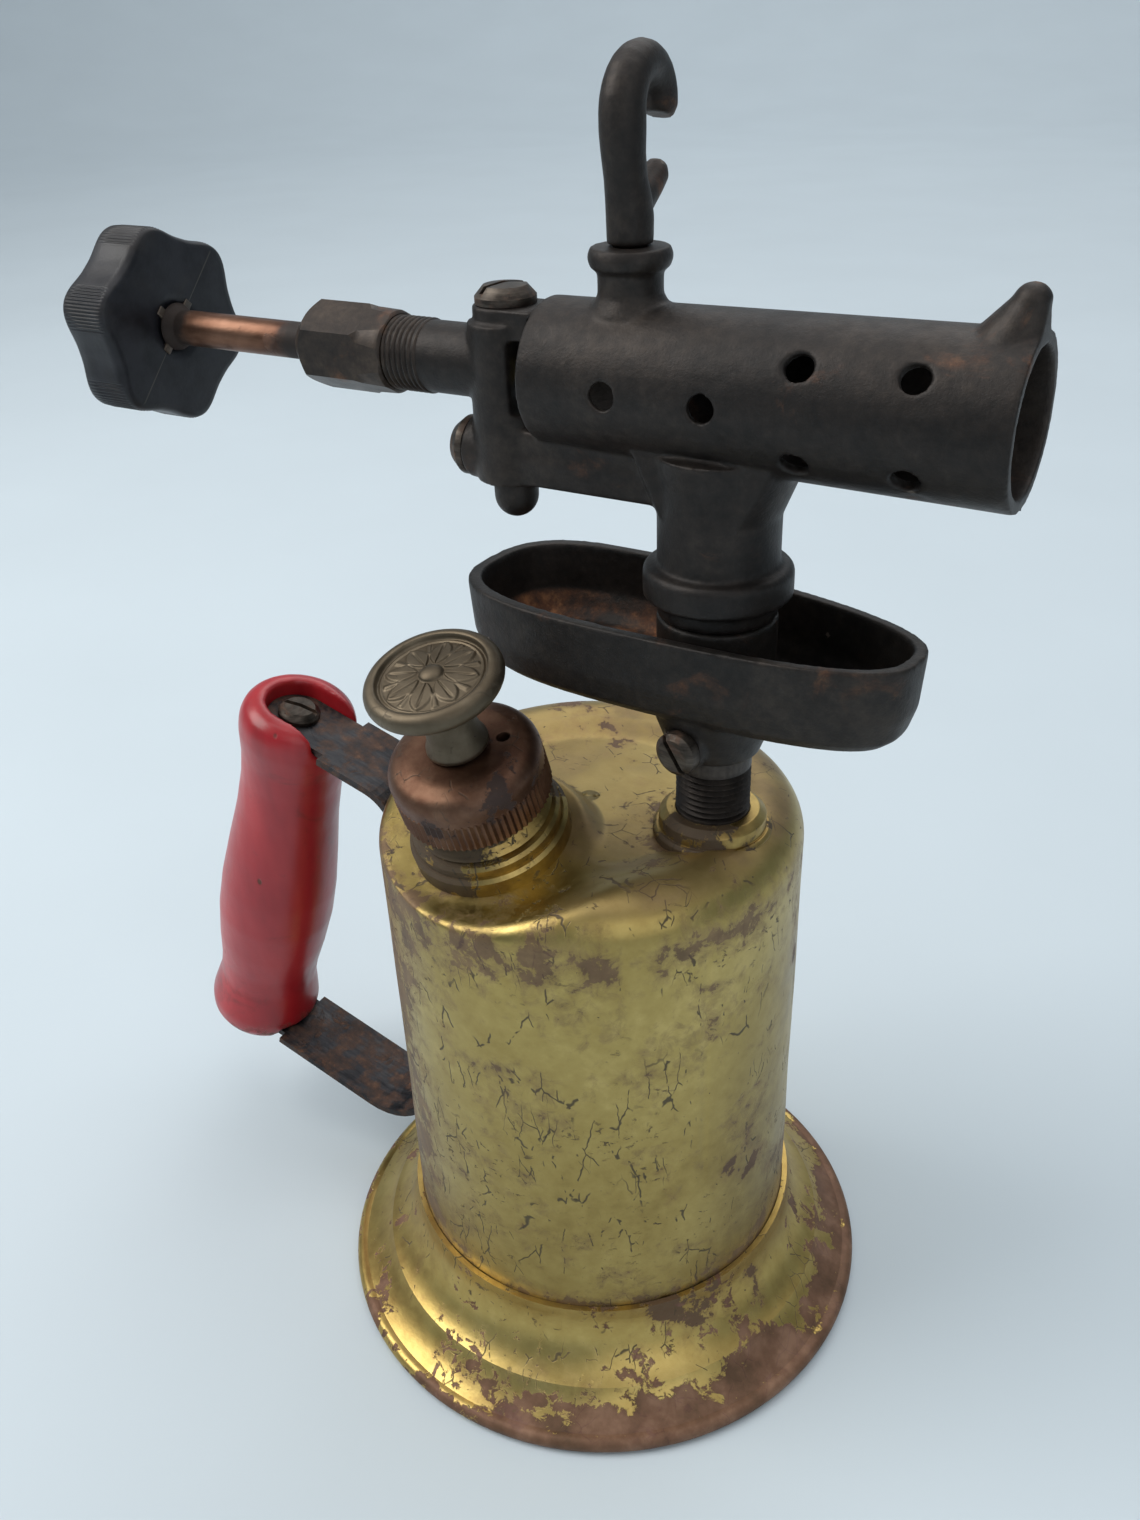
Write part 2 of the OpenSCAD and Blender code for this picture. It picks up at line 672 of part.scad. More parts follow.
tank_shell();
tank_bottom();
base_skirt();
filler_bushing();
filler_gasket();
filler_plug();
pump_neck();
pump_tube();
pump_foot();
check_poppet();
check_spring();
valve_retainer();
pump_cap();
cap_washer();
pump_rod();
plunger_cup();
plunger_washers();
plunger_nuts();
pump_knob();
riser_collar();
riser_pipe();
supply_tube();
wick();
priming_pan();
pan_screw();
burner_body();
jet_nozzle();
passage_screw();
rear_plug();
packing_nut();
packing_ring();
needle_tip();
valve_spindle();
valve_wheel();
wheel_screw();
iron_hook();
handle_strap();
grip();
handle_bolt();
handle_nut();
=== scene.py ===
"""Looks of the blowtorch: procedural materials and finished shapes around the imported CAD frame."""

import json
import math

import bpy
from mathutils import Matrix, Vector, noise


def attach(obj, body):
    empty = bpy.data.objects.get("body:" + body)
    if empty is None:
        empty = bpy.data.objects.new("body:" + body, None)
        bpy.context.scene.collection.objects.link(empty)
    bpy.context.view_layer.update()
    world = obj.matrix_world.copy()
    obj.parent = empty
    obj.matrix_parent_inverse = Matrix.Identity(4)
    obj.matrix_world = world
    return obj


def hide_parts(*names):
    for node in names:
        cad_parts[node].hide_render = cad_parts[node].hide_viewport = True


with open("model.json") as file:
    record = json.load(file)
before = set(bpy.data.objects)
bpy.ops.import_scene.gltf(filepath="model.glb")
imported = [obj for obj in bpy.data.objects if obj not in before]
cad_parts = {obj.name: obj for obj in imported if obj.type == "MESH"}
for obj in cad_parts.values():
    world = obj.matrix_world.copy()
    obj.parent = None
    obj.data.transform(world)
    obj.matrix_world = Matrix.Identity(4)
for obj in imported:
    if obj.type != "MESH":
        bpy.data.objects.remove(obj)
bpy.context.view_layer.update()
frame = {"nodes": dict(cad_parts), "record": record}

MM = 0.001
nodes = frame["nodes"]
slot_of = {s["node"]: s["material_slot"] for s in frame["record"]["subparts"]}

# ---------------------------------------------------------------- camera

CAMERA_AT = Vector((134.42, -229.12, 317.35)) * MM
CAMERA_RIGHT = Vector((0.86429, 0.50175, -0.03526))
CAMERA_UP = Vector((-0.23047, 0.45737, 0.85889))
camera_data = bpy.data.cameras.new("camera")
camera_data.sensor_fit = "VERTICAL"
camera_data.sensor_height = 36.0
camera_data.lens = 31.19
camera_data.clip_start = 0.01
camera = bpy.data.objects.new("camera", camera_data)
bpy.context.collection.objects.link(camera)
camera_back = CAMERA_RIGHT.cross(CAMERA_UP)
camera_turn = Matrix((CAMERA_RIGHT, CAMERA_UP, camera_back)).transposed().to_4x4()
camera.matrix_world = Matrix.Translation(CAMERA_AT) @ camera_turn
bpy.context.scene.camera = camera


# ---------------------------------------------------------------- materials


class Shade:
    """Builds one material's node tree."""

    def __init__(self, name):
        self.mat = bpy.data.materials.new(name)
        self.mat.use_nodes = True
        self.tree = self.mat.node_tree
        self.tree.nodes.clear()
        self.out = self.tree.nodes.new("ShaderNodeOutputMaterial")
        self.bsdf = self.tree.nodes.new("ShaderNodeBsdfPrincipled")
        self.tree.links.new(self.bsdf.outputs[0], self.out.inputs[0])
        self.place = self.tree.nodes.new("ShaderNodeTexCoord").outputs["Object"]

    def link(self, a, b):
        self.tree.links.new(a, b)

    def set(self, **values):
        for name, value in values.items():
            self.bsdf.inputs[name.replace("_", " ")].default_value = value
        return self

    def stretched(self, scale, turn=(0, 0, 0)):
        """The place, turned and scaled; a small scale draws a pattern out."""
        node = self.tree.nodes.new("ShaderNodeMapping")
        node.inputs["Scale"].default_value = scale
        node.inputs["Rotation"].default_value = turn
        self.link(self.place, node.inputs["Vector"])
        return node.outputs[0]

    def noise(self, scale, detail=4.0, rough=0.55, where=None, distort=0.0, output=0):
        node = self.tree.nodes.new("ShaderNodeTexNoise")
        node.inputs["Scale"].default_value = scale
        node.inputs["Detail"].default_value = detail
        node.inputs["Roughness"].default_value = rough
        node.inputs["Distortion"].default_value = distort
        self.link(where or self.place, node.inputs["Vector"])
        return node.outputs[output]

    def cells(self, scale, feature="F1", where=None):
        node = self.tree.nodes.new("ShaderNodeTexVoronoi")
        node.feature = feature
        node.inputs["Scale"].default_value = scale
        self.link(where or self.place, node.inputs["Vector"])
        return node.outputs["Distance"]

    def ramp(self, value, stops):
        node = self.tree.nodes.new("ShaderNodeValToRGB")
        ramp = node.color_ramp
        while len(ramp.elements) < len(stops):
            ramp.elements.new(0.5)
        for element, (at, colour) in zip(ramp.elements, stops):
            element.position = at
            element.color = (*colour, 1.0)
        self.link(value, node.inputs["Fac"])
        return node.outputs["Color"]

    def step(self, value, low, high):
        """0 below low, 1 above high, smooth between."""
        node = self.tree.nodes.new("ShaderNodeMapRange")
        node.interpolation_type = "SMOOTHSTEP"
        node.inputs["From Min"].default_value = low
        node.inputs["From Max"].default_value = high
        self.link(value, node.inputs["Value"])
        return node.outputs["Result"]

    def math(self, kind, a, b=None, clamp=False):
        node = self.tree.nodes.new("ShaderNodeMath")
        node.operation = kind
        node.use_clamp = clamp
        for socket, value in zip(node.inputs, (a, b)):
            if value is None:
                continue
            if isinstance(value, (int, float)):
                socket.default_value = value
            else:
                self.link(value, socket)
        return node.outputs[0]

    def mix(self, factor, a, b, kind="MIX"):
        node = self.tree.nodes.new("ShaderNodeMix")
        node.data_type = "RGBA"
        node.blend_type = kind
        sockets = (node.inputs[0], node.inputs[6], node.inputs[7])
        for socket, value in zip(sockets, (factor, a, b)):
            if isinstance(value, (int, float)):
                socket.default_value = value
            elif isinstance(value, tuple):
                socket.default_value = (*value, 1.0)
            else:
                self.link(value, socket)
        return node.outputs[2]

    def fold(self, kind, values):
        """One operation over all the values, from left to right."""
        total = values[0]
        for value in values[1:]:
            total = self.math(kind, total, value)
        return total

    def plus(self, *values):
        return self.fold("ADD", values)

    def times(self, *values):
        return self.fold("MULTIPLY", values)

    def most(self, *values):
        return self.fold("MAXIMUM", values)

    def less(self, value, start=1.0):
        return self.math("SUBTRACT", start, value)

    def apart(self, value, centre):
        """Distance of a value from centre."""
        return self.math("ABSOLUTE", self.math("SUBTRACT", value, centre))

    def split(self, place=None):
        """X, Y and Z of a place."""
        node = self.tree.nodes.new("ShaderNodeSeparateXYZ")
        self.link(place or self.place, node.inputs[0])
        return node.outputs

    def worn(self, low=0.52, high=0.6):
        """1 on the outer edges of the shape."""
        node = self.tree.nodes.new("ShaderNodeNewGeometry")
        return self.step(node.outputs["Pointiness"], low, high)

    def up(self):
        """1 where the surface faces up."""
        node = self.tree.nodes.new("ShaderNodeNewGeometry")
        return self.split(node.outputs["Normal"])[2]

    def colour(self, value):
        self.link(value, self.bsdf.inputs["Base Color"])
        return self

    def rough(self, value):
        self.link(value, self.bsdf.inputs["Roughness"])
        return self

    def metal(self, value):
        self.link(value, self.bsdf.inputs["Metallic"])
        return self

    def bump(self, *layers):
        """Layers of (value, depth in metres), one over the other."""
        last = None
        for value, depth in layers:
            node = self.tree.nodes.new("ShaderNodeBump")
            node.inputs["Strength"].default_value = 1.0
            node.inputs["Distance"].default_value = depth
            self.link(value, node.inputs["Height"])
            if last:
                self.link(last, node.inputs["Normal"])
            last = node.outputs[0]
        self.link(last, self.bsdf.inputs["Normal"])
        return self


def busy_round(s, place, spot):
    """A bonus for marks near one spot, fading out with distance."""
    reach = s.tree.nodes.new("ShaderNodeVectorMath")
    reach.operation = "DISTANCE"
    s.link(place, reach.inputs[0])
    reach.inputs[1].default_value = spot
    return s.times(s.less(s.step(reach.outputs["Value"], 0.010, 0.050)), 0.13)


def scratches(s, busy):
    """Thin wavy lines in three directions, broken into runs."""
    lines = []
    for k, turn in enumerate([(0.2, 0.4, 0.5), (1.0, -0.5, 0.2), (0.3, 0.9, -0.7)]):
        bent = s.stretched((1.0, 1.0, 0.3), turn)
        wavy = s.mix(0.0035, bent, s.noise(90, 3, 0.6, output="Color"), "ADD")
        cut = s.less(s.step(s.cells(190 - 45 * k, "DISTANCE_TO_EDGE", wavy), 0.006, 0.024))
        run = s.step(s.noise(95 + 25 * k, 3, 0.6), 0.545, 0.57)
        area_of_runs = s.step(s.plus(s.noise(30 + 8 * k, 2, 0.5), busy), 0.49, 0.56)
        lines.append(s.times(cut, s.times(run, area_of_runs)))
    return s.most(*lines)


def brass(name, tones, stain=(0.085, 0.042, 0.026), flecks=0.5, patches=0.3, scratch=1.0, gloss=0.34,
          seed=0.0, oxide=None, spot=None):
    """Old brass: cloudy tone, clusters of dark flecks, brown patches and crossed scratches."""
    s = Shade(name)
    true_place = s.place
    moved = s.tree.nodes.new("ShaderNodeMapping")
    moved.inputs["Location"].default_value = (seed, seed * 0.7, seed * 1.3)
    s.link(s.place, moved.inputs["Vector"])
    s.place = moved.outputs[0]
    tone = s.plus(s.times(s.noise(16, 4, 0.55, distort=0.3), 0.7), s.times(s.noise(240, 5, 0.6), 0.3))
    colour = s.ramp(tone, list(zip((0.35, 0.46, 0.56, 0.66), tones)))
    busy = busy_round(s, true_place, spot) if spot else 0.0
    # small flecks, gathered in clusters, and a few strays
    crowd = s.plus(s.noise(30, 3, 0.55, distort=0.4), busy)
    gather = s.step(crowd, 0.60 - 0.16 * flecks, 0.72 - 0.12 * flecks)
    ragged = s.noise(310, 7, 0.68, s.stretched((1.0, 1.0, 1.7)), distort=0.5)
    stray = s.step(s.noise(420, 3, 0.6), 0.745 - 0.03 * flecks, 0.77 - 0.03 * flecks)
    fleck = s.most(s.times(s.step(ragged, 0.60, 0.635), gather), stray)
    # larger brown patches with a soft halo
    broad = s.plus(s.times(s.noise(24, 2, 0.5), 0.62), s.times(s.noise(150, 6, 0.65), 0.38))
    wider = 0.13 * patches
    patch = s.step(broad, 0.655 - wider, 0.672 - wider)
    halo = s.times(s.step(broad, 0.60 - wider, 0.67 - wider), 0.30)
    lines = s.times(scratches(s, busy), 0.85 * scratch)
    colour = s.mix(halo, colour, tuple(c * 2.2 for c in stain))
    colour = s.mix(s.times(patch, 0.86), colour, stain)
    colour = s.mix(s.times(fleck, 0.88), colour, (0.050, 0.032, 0.020))
    colour = s.mix(lines, colour, (0.040, 0.030, 0.018))
    dark = s.most(patch, s.most(fleck, lines))
    if oxide:
        crust, tint = oxide(s, true_place)
        colour = s.mix(crust, colour, tint)
        dark = s.most(dark, s.times(crust, 0.85))
    s.colour(colour)
    s.metal(s.less(s.times(dark, 0.8)))
    s.rough(s.plus(s.times(s.noise(75, 4, 0.6), 0.20), s.plus(gloss - 0.10, s.times(dark, 0.26))))
    s.bump((s.noise(15, 2, 0.5), 0.0009), (s.less(dark), 0.00006), (s.noise(900, 3, 0.6), 0.00003))
    s.set(Specular_IOR_Level=0.5)
    return s


def base_oxide(s, place):
    """Copper-brown crust on the base's outer band, heavier towards +X, with bright flakes left in it."""
    x, y, _ = s.split(place)
    far = s.math("SQRT", s.plus(s.times(x, x), s.times(y, y)))
    out = s.step(far, 0.0590, 0.0660)
    side = s.times(s.plus(x, s.times(y, -0.1)), 1.2)
    coarse = s.noise(62, 4, 0.6, distort=0.5)
    fine = s.noise(240, 8, 0.72, distort=0.5)
    ragged = s.plus(s.times(coarse, 0.55), s.times(fine, 0.45))
    level = s.plus(s.plus(ragged, s.times(side, s.plus(0.25, out))), s.times(out, 0.075))
    rim = s.times(s.step(far, 0.0695, 0.0715), 0.09)
    crust = s.step(s.plus(level, rim), 0.575, 0.600)
    browns = [(0.34, (0.072, 0.030, 0.020)), (0.52, (0.145, 0.066, 0.044)), (0.68, (0.235, 0.125, 0.085))]
    return s.times(crust, 0.92), s.ramp(s.noise(120, 5, 0.6), browns)


def tank_oxide(s, place):
    """Plum-brown bands between the pump and the handle, under the shoulder and at the foot, and a
    brown bloom over the top."""
    x, y, z = s.split(place)
    coarse = s.noise(46, 4, 0.6, distort=0.6)
    fine = s.noise(230, 8, 0.72, distort=0.4)
    ragged = s.plus(s.times(coarse, 0.5), s.times(fine, 0.5))
    side = s.times(s.step(s.times(s.plus(x, y), -0.7071), 0.0455, 0.0505), 0.12)
    drips = s.times(s.noise(70, 3, 0.6, s.stretched((1, 1, 0.15))), 0.010)
    shoulder = s.less(s.times(s.apart(s.plus(z, drips), 0.1445), 11.0), 0.115)
    foot = s.less(s.times(s.apart(z, 0.030), 12.0), 0.085)
    level = s.plus(ragged, s.most(s.most(side, shoulder), s.most(foot, -0.02)))
    crust = s.times(s.step(level, 0.585, 0.625), 0.80)
    bloom = s.times(s.step(level, 0.50, 0.62), 0.40)
    cloudy = s.plus(0.30, s.times(s.step(s.noise(60, 4, 0.6), 0.40, 0.62), 0.30))
    over = s.times(s.step(z, 0.1475, 0.1505), cloudy)
    browns = [(0.36, (0.080, 0.038, 0.030)), (0.52, (0.135, 0.072, 0.048)), (0.68, (0.22, 0.135, 0.075))]
    return s.most(crust, bloom, over), s.ramp(s.noise(150, 5, 0.6), browns)


def darker_towards_spindle_ends(s, place):
    """Near-black towards both ends of the spindle, where it enters the wheel and the packing nut."""
    middle = -0.0885
    level = s.plus(s.apart(s.split(place)[0], middle), s.times(s.noise(220, 5, 0.65), 0.006))
    return s.times(s.step(level, 0.0150, 0.0195), 0.93), (0.016, 0.012, 0.010)


def iron(name, tones, rust=0.3, wear=0.5, gloss=0.55, grain=0.00022, rust_in=None):
    """Sooty cast iron: grainy skin, brown bloom, rubbed edges."""
    s = Shade(name)
    tone = s.plus(s.times(s.noise(34, 5, 0.6, distort=0.3), 0.6), s.times(s.noise(420, 5, 0.65), 0.4))
    colour = s.ramp(tone, list(zip((0.38, 0.5, 0.63), tones)))
    bloom = s.step(s.noise(52, 6, 0.66, distort=0.7), 0.60 - 0.16 * rust, 0.74 - 0.12 * rust)
    bloom = s.times(bloom, min(1.0, rust + 0.25))
    if rust_in:
        bloom = s.most(bloom, rust_in(s))
    oranges = [(0.35, (0.055, 0.022, 0.010)), (0.52, (0.16, 0.058, 0.020)), (0.68, (0.36, 0.15, 0.055))]
    colour = s.mix(bloom, colour, s.ramp(s.noise(260, 5, 0.7), oranges))
    rubbed = s.times(s.worn(0.53, 0.64), s.step(s.noise(110, 4, 0.6), 0.38, 0.62), wear)
    s.colour(s.mix(rubbed, colour, (0.24, 0.20, 0.165)))
    clean = s.math("SUBTRACT", 1.0, bloom, clamp=True)
    s.metal(s.times(clean, s.plus(s.times(rubbed, 0.4), 0.45)))
    rougher = s.plus(gloss - 0.14, s.times(bloom, 0.25))
    s.rough(s.math("ADD", s.times(s.noise(150, 4, 0.6), 0.30), rougher, clamp=True))
    skin = s.noise(420, 5, 0.7)
    sand = s.noise(1700, 3, 0.65)
    s.bump((s.noise(60, 3, 0.5), 0.00025), (skin, grain * 0.7), (sand, grain * 0.5))
    return s


def rubber(name):
    """Black hard rubber with grey dust and rubbed corners."""
    s = Shade(name)
    dust = s.step(s.noise(55, 6, 0.65, distort=0.5), 0.48, 0.72)
    smear = s.noise(160, 4, 0.6, s.stretched((0.4, 1, 1)))
    colour = s.ramp(smear, [(0.35, (0.006, 0.006, 0.008)), (0.6, (0.015, 0.015, 0.019))])
    colour = s.mix(s.times(dust, 0.18), colour, (0.070, 0.060, 0.048))
    s.colour(s.mix(s.times(s.worn(0.54, 0.66), 0.35), colour, (0.13, 0.115, 0.095)))
    s.rough(s.plus(s.times(dust, 0.2), s.plus(s.times(smear, 0.15), 0.32)))
    s.set(Specular_IOR_Level=0.32)
    s.bump((s.noise(70, 3), 0.0003), (s.noise(1100, 3, 0.6), 0.00004))
    return s


def paint(name):
    """Crimson paint with dings, chipped to dark wood at the lower end and on worn edges."""
    s = Shade(name)
    along = s.stretched((1, 1, 0.3), (0, math.radians(17), 0))
    reds = [(0.34, (0.20, 0.006, 0.010)), (0.5, (0.36, 0.010, 0.016)), (0.66, (0.47, 0.022, 0.026))]
    colour = s.ramp(s.noise(38, 4, 0.55, along), reds)
    grime = s.times(s.step(s.noise(70, 6, 0.68, distort=0.8), 0.56, 0.72), 0.45)
    colour = s.mix(grime, colour, (0.10, 0.010, 0.010))
    dings = s.less(s.step(s.cells(150, where=s.stretched((1, 1, 0.6))), 0.05, 0.13))
    chips = s.times(dings, s.step(s.noise(42, 2), 0.56, 0.60))
    low = s.less(s.step(s.split()[2], 0.0325, 0.0405))
    chipped = s.times(low, s.step(s.noise(260, 5, 0.7), 0.49, 0.54))
    rubbed = s.times(s.worn(0.55, 0.66), s.step(s.noise(170, 5, 0.7), 0.52, 0.56))
    bare = s.most(chips, s.most(chipped, rubbed))
    wood = s.ramp(s.noise(300, 4, 0.6, along), [(0.4, (0.030, 0.014, 0.010)), (0.62, (0.16, 0.075, 0.045))])
    s.colour(s.mix(s.times(bare, 0.88), colour, wood))
    rougher = s.plus(0.24, s.times(bare, 0.5))
    s.rough(s.math("ADD", s.times(s.noise(95, 5, 0.6), 0.22), rougher, clamp=True))
    s.bump((s.noise(45, 3, 0.5, along), 0.0011), (s.less(bare), 0.00022), (s.noise(700, 2), 0.00003))
    s.set(Coat_Weight=0.22, Coat_Roughness=0.26)
    return s


def steel(name, tones, rust=0.4, gloss=0.42, lines=(1, 1, 8), oxide=None):
    """Blued or bare steel, or drawn bronze, with a rolled grain and rusty edges."""
    s = Shade(name)
    grain = s.noise(160, 5, 0.6, s.stretched(lines))
    tone = s.plus(s.times(grain, 0.5), s.times(s.noise(45, 5, 0.62, distort=0.4), 0.5))
    colour = s.ramp(tone, list(zip((0.38, 0.5, 0.64), tones)))
    patch = s.step(s.noise(85, 7, 0.7, distort=0.8), 0.62 - 0.18 * rust, 0.70 - 0.14 * rust)
    edge = s.times(s.worn(0.52, 0.6), s.step(s.noise(200, 4), 0.40, 0.60))
    rusted = s.most(patch, s.times(edge, 0.7))
    browns = [(0.36, (0.045, 0.022, 0.012)), (0.55, (0.13, 0.055, 0.024)), (0.7, (0.27, 0.125, 0.055))]
    rusty = s.ramp(s.noise(300, 5, 0.7), browns)
    colour = s.mix(s.times(rusted, min(1.0, rust * 1.6)), colour, rusty)
    # A mask and colour laid over the rest, counted with the rust for metal, roughness and bump; on the
    # spindle it is near-black towards both ends.
    if oxide:
        crust, tint = oxide(s, s.place)
        colour = s.mix(crust, colour, tint)
        rusted = s.most(rusted, crust)
    s.colour(colour)
    s.metal(s.less(s.times(rusted, 0.65), 0.9))
    rougher = s.plus(gloss - 0.12, s.times(rusted, 0.3))
    s.rough(s.math("ADD", s.times(grain, 0.24), rougher, clamp=True))
    s.bump((s.noise(70, 2), 0.0004), (rusted, 0.00006), (s.noise(800, 3), 0.00005))
    return s


def soft(name, dark, light, scale):
    """Leather or felt inside the torch."""
    s = Shade(name)
    s.colour(s.ramp(s.noise(scale, 6, 0.7), [(0.35, dark), (0.65, light)]))
    s.rough(s.plus(s.times(s.noise(scale * 2), 0.2), 0.7))
    s.bump((s.noise(scale * 1.5, 5, 0.7), 0.0003), (s.cells(scale * 3), 0.0001))
    return s


def rust_inside_pan(s):
    """Orange rust on the floor of the rear half of the pan."""
    x, _, z = s.split()
    rear = s.less(s.step(x, 0.012, 0.030))
    inside = s.less(s.step(z, 0.1975, 0.2015))
    patch = s.step(s.noise(75, 6, 0.68, distort=0.5), 0.36, 0.58)
    return s.times(rear, inside, s.step(s.up(), 0.15, 0.6), patch)


materials = {}


def make(kind, name, *looks, **values):
    materials[name] = kind(name, *looks, **values).mat


make(brass, "tank_brass",
    [(0.27, 0.190, 0.063), (0.37, 0.272, 0.092), (0.43, 0.325, 0.115), (0.53, 0.405, 0.155)],
    flecks=0.62, patches=0.30, seed=0.031, oxide=tank_oxide, spot=(0.012, -0.0495, 0.072))
make(brass, "base_brass",
    [(0.33, 0.215, 0.070), (0.46, 0.325, 0.105), (0.53, 0.39, 0.135), (0.66, 0.49, 0.19)],
    flecks=0.5, patches=0.35, gloss=0.36, seed=0.113, oxide=base_oxide)
make(brass, "neck_brass",
    [(0.20, 0.125, 0.045), (0.34, 0.235, 0.080), (0.46, 0.33, 0.115), (0.58, 0.42, 0.16)],
    (0.045, 0.027, 0.018), flecks=1.0, patches=1.15, gloss=0.38, seed=0.22)
make(brass, "cap_bronze",
    [(0.070, 0.038, 0.027), (0.125, 0.064, 0.041), (0.185, 0.105, 0.068), (0.29, 0.18, 0.115)],
    (0.036, 0.021, 0.017), flecks=0.8, patches=0.85, scratch=0.5, gloss=0.47, seed=0.37)
make(brass, "knob_bronze",
    [(0.080, 0.061, 0.041), (0.112, 0.088, 0.060), (0.140, 0.113, 0.079), (0.19, 0.155, 0.11)],
    (0.045, 0.034, 0.024), flecks=0.5, patches=0.4, scratch=0.4, gloss=0.50, seed=0.41)
make(brass, "inner_brass", [(0.24, 0.17, 0.06), (0.38, 0.28, 0.10), (0.50, 0.38, 0.15), (0.62, 0.49, 0.21)],
    flecks=0.3, patches=0.1, scratch=0.3, seed=0.53)
make(iron, "black_iron", [(0.009, 0.007, 0.006), (0.019, 0.0145, 0.012), (0.038, 0.029, 0.023)],
    rust=0.12, wear=0.55, gloss=0.50, grain=0.00013)
make(iron, "pan_iron", [(0.009, 0.0075, 0.0065), (0.018, 0.0145, 0.012), (0.036, 0.028, 0.022)],
    rust=0.10, wear=0.7, gloss=0.5, grain=0.00018, rust_in=rust_inside_pan)
make(iron, "nut_iron", [(0.014, 0.010, 0.008), (0.034, 0.024, 0.018), (0.070, 0.050, 0.036)],
    rust=0.22, wear=0.8, gloss=0.44, grain=0.00008)
make(steel, "spindle_bronze", [(0.060, 0.028, 0.019), (0.16, 0.080, 0.050), (0.32, 0.18, 0.12)],
    rust=0.15, gloss=0.36, lines=(0.12, 1, 1), oxide=darker_towards_spindle_ends)
make(steel, "strap_steel", [(0.014, 0.014, 0.016), (0.032, 0.032, 0.035), (0.064, 0.062, 0.063)],
    rust=0.42, gloss=0.42, lines=(1, 6, 1))
make(steel, "screw_steel", [(0.030, 0.025, 0.021), (0.070, 0.059, 0.049), (0.15, 0.127, 0.105)],
    rust=0.35, gloss=0.46)
make(steel, "spring_steel", [(0.30, 0.30, 0.31), (0.42, 0.42, 0.43), (0.52, 0.52, 0.53)],
    rust=0.05, gloss=0.3)
make(rubber, "hard_rubber")
make(paint, "red_paint")
make(soft, "leather", (0.10, 0.055, 0.028), (0.24, 0.14, 0.075), 300)
make(soft, "felt", (0.34, 0.30, 0.23), (0.58, 0.53, 0.43), 500)


def dress(piece, slot):
    piece.data.materials.clear()
    piece.data.materials.append(materials[slot])


# ---------------------------------------------------------------- CAD nodes that stay


def modifier(piece, kind, **values):
    m = piece.modifiers.new(kind.lower(), kind)
    for name, value in values.items():
        setattr(m, name, value)
    return m


def cast(piece, voxel, rounds):
    """Runs the edges of a casting into one another."""
    modifier(piece, "REMESH", mode="VOXEL", voxel_size=voxel * MM, use_smooth_shade=True)
    modifier(piece, "SMOOTH", iterations=rounds, factor=0.5)


def machined(piece, width=0.15, angle=28):
    """Breaks the sharp edges of a turned or stamped piece."""
    modifier(piece, "WELD", merge_threshold=0.00001)
    modifier(piece, "BEVEL", width=width * MM, segments=2, limit_method="ANGLE",
             angle_limit=math.radians(angle), harden_normals=False)


def smooth(piece, angle=22):
    """Joins a CAD node's faces and shades its curved walls as curves."""
    modifier(piece, "WELD", merge_threshold=0.00001)
    modifier(piece, "EDGE_SPLIT", split_angle=math.radians(angle))
    modifier(piece, "WEIGHTED_NORMAL")


for name, node in nodes.items():
    dress(node, slot_of[name])

for name, voxel, rounds in [("burner_body", 0.5, 7), ("iron_hook", 0.45, 6), ("priming_pan", 0.5, 10)]:
    cast(nodes[name], voxel, rounds)
cast(nodes["grip"], 0.7, 14)

MACHINED = ["riser_collar", "packing_nut", "handle_bolt", "pan_screw", "passage_screw", "rear_plug",
            "wheel_screw", "handle_strap", "jet_nozzle", "pump_cap", "valve_spindle", "filler_plug",
            "filler_bushing", "handle_nut"]
for name in MACHINED:
    machined(nodes[name])
for name in ["base_skirt", "riser_pipe", "pump_neck", "pump_rod", "supply_tube"]:
    smooth(nodes[name])

# ---------------------------------------------------------------- finished shapes

TAU = 2 * math.pi
BURNER_Z = 249.5
RISER_X = 32
PUMP_AT = Vector((-12.5, -23.5, 149.0))
PUMP_TURN = Matrix.Rotation(math.radians(-98), 4, "Z") @ Matrix.Rotation(math.radians(17), 4, "Y")
PUMP_PLACE = Matrix.Translation(PUMP_AT) @ PUMP_TURN
PUMP_UP = PUMP_TURN.to_3x3() @ Vector((0, 0, 1))


def ease(low, high, value):
    """Smooth step from 0 at low to 1 at high, or the other way round."""
    t = min(1.0, max(0.0, (value - low) / (high - low)))
    return t * t * (3 - 2 * t)


def build(name, points, faces, body, slot, replaced=()):
    """A piece from points in millimetres."""
    mesh = bpy.data.meshes.new(name)
    mesh.from_pydata([Vector(p) * MM for p in points], [], faces)
    mesh.polygons.foreach_set("use_smooth", [True] * len(mesh.polygons))
    mesh.update()
    piece = bpy.data.objects.new(name, mesh)
    bpy.context.collection.objects.link(piece)
    dress(piece, slot)
    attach(piece, body)
    if replaced:
        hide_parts(*replaced)
    return piece


def turned(rings, around, place=None, shape=None, closed=False):
    """Points and faces of rings (radius, height) about Z; shape(point, ring, angle) may move a point."""
    points, faces = [], []
    for i, (r, z) in enumerate(rings):
        for j in range(around):
            a = TAU * j / around
            p = Vector((r * math.cos(a), r * math.sin(a), z))
            if shape:
                p = shape(p, i, a)
            points.append(place @ p if place else p)
    count = len(rings)
    for i in range(count if closed else count - 1):
        for j in range(around):
            k = (j + 1) % around
            n = (i + 1) % count
            faces.append((i * around + j, i * around + k, n * around + k, n * around + j))
    return points, faces


def cap_ring(points, faces, ring, around, centre, flip=False):
    """Closes a ring with a fan round one point."""
    points.append(centre)
    c = len(points) - 1
    for j in range(around):
        k = (j + 1) % around
        a, b = ring * around + j, ring * around + k
        faces.append((b, a, c) if flip else (a, b, c))


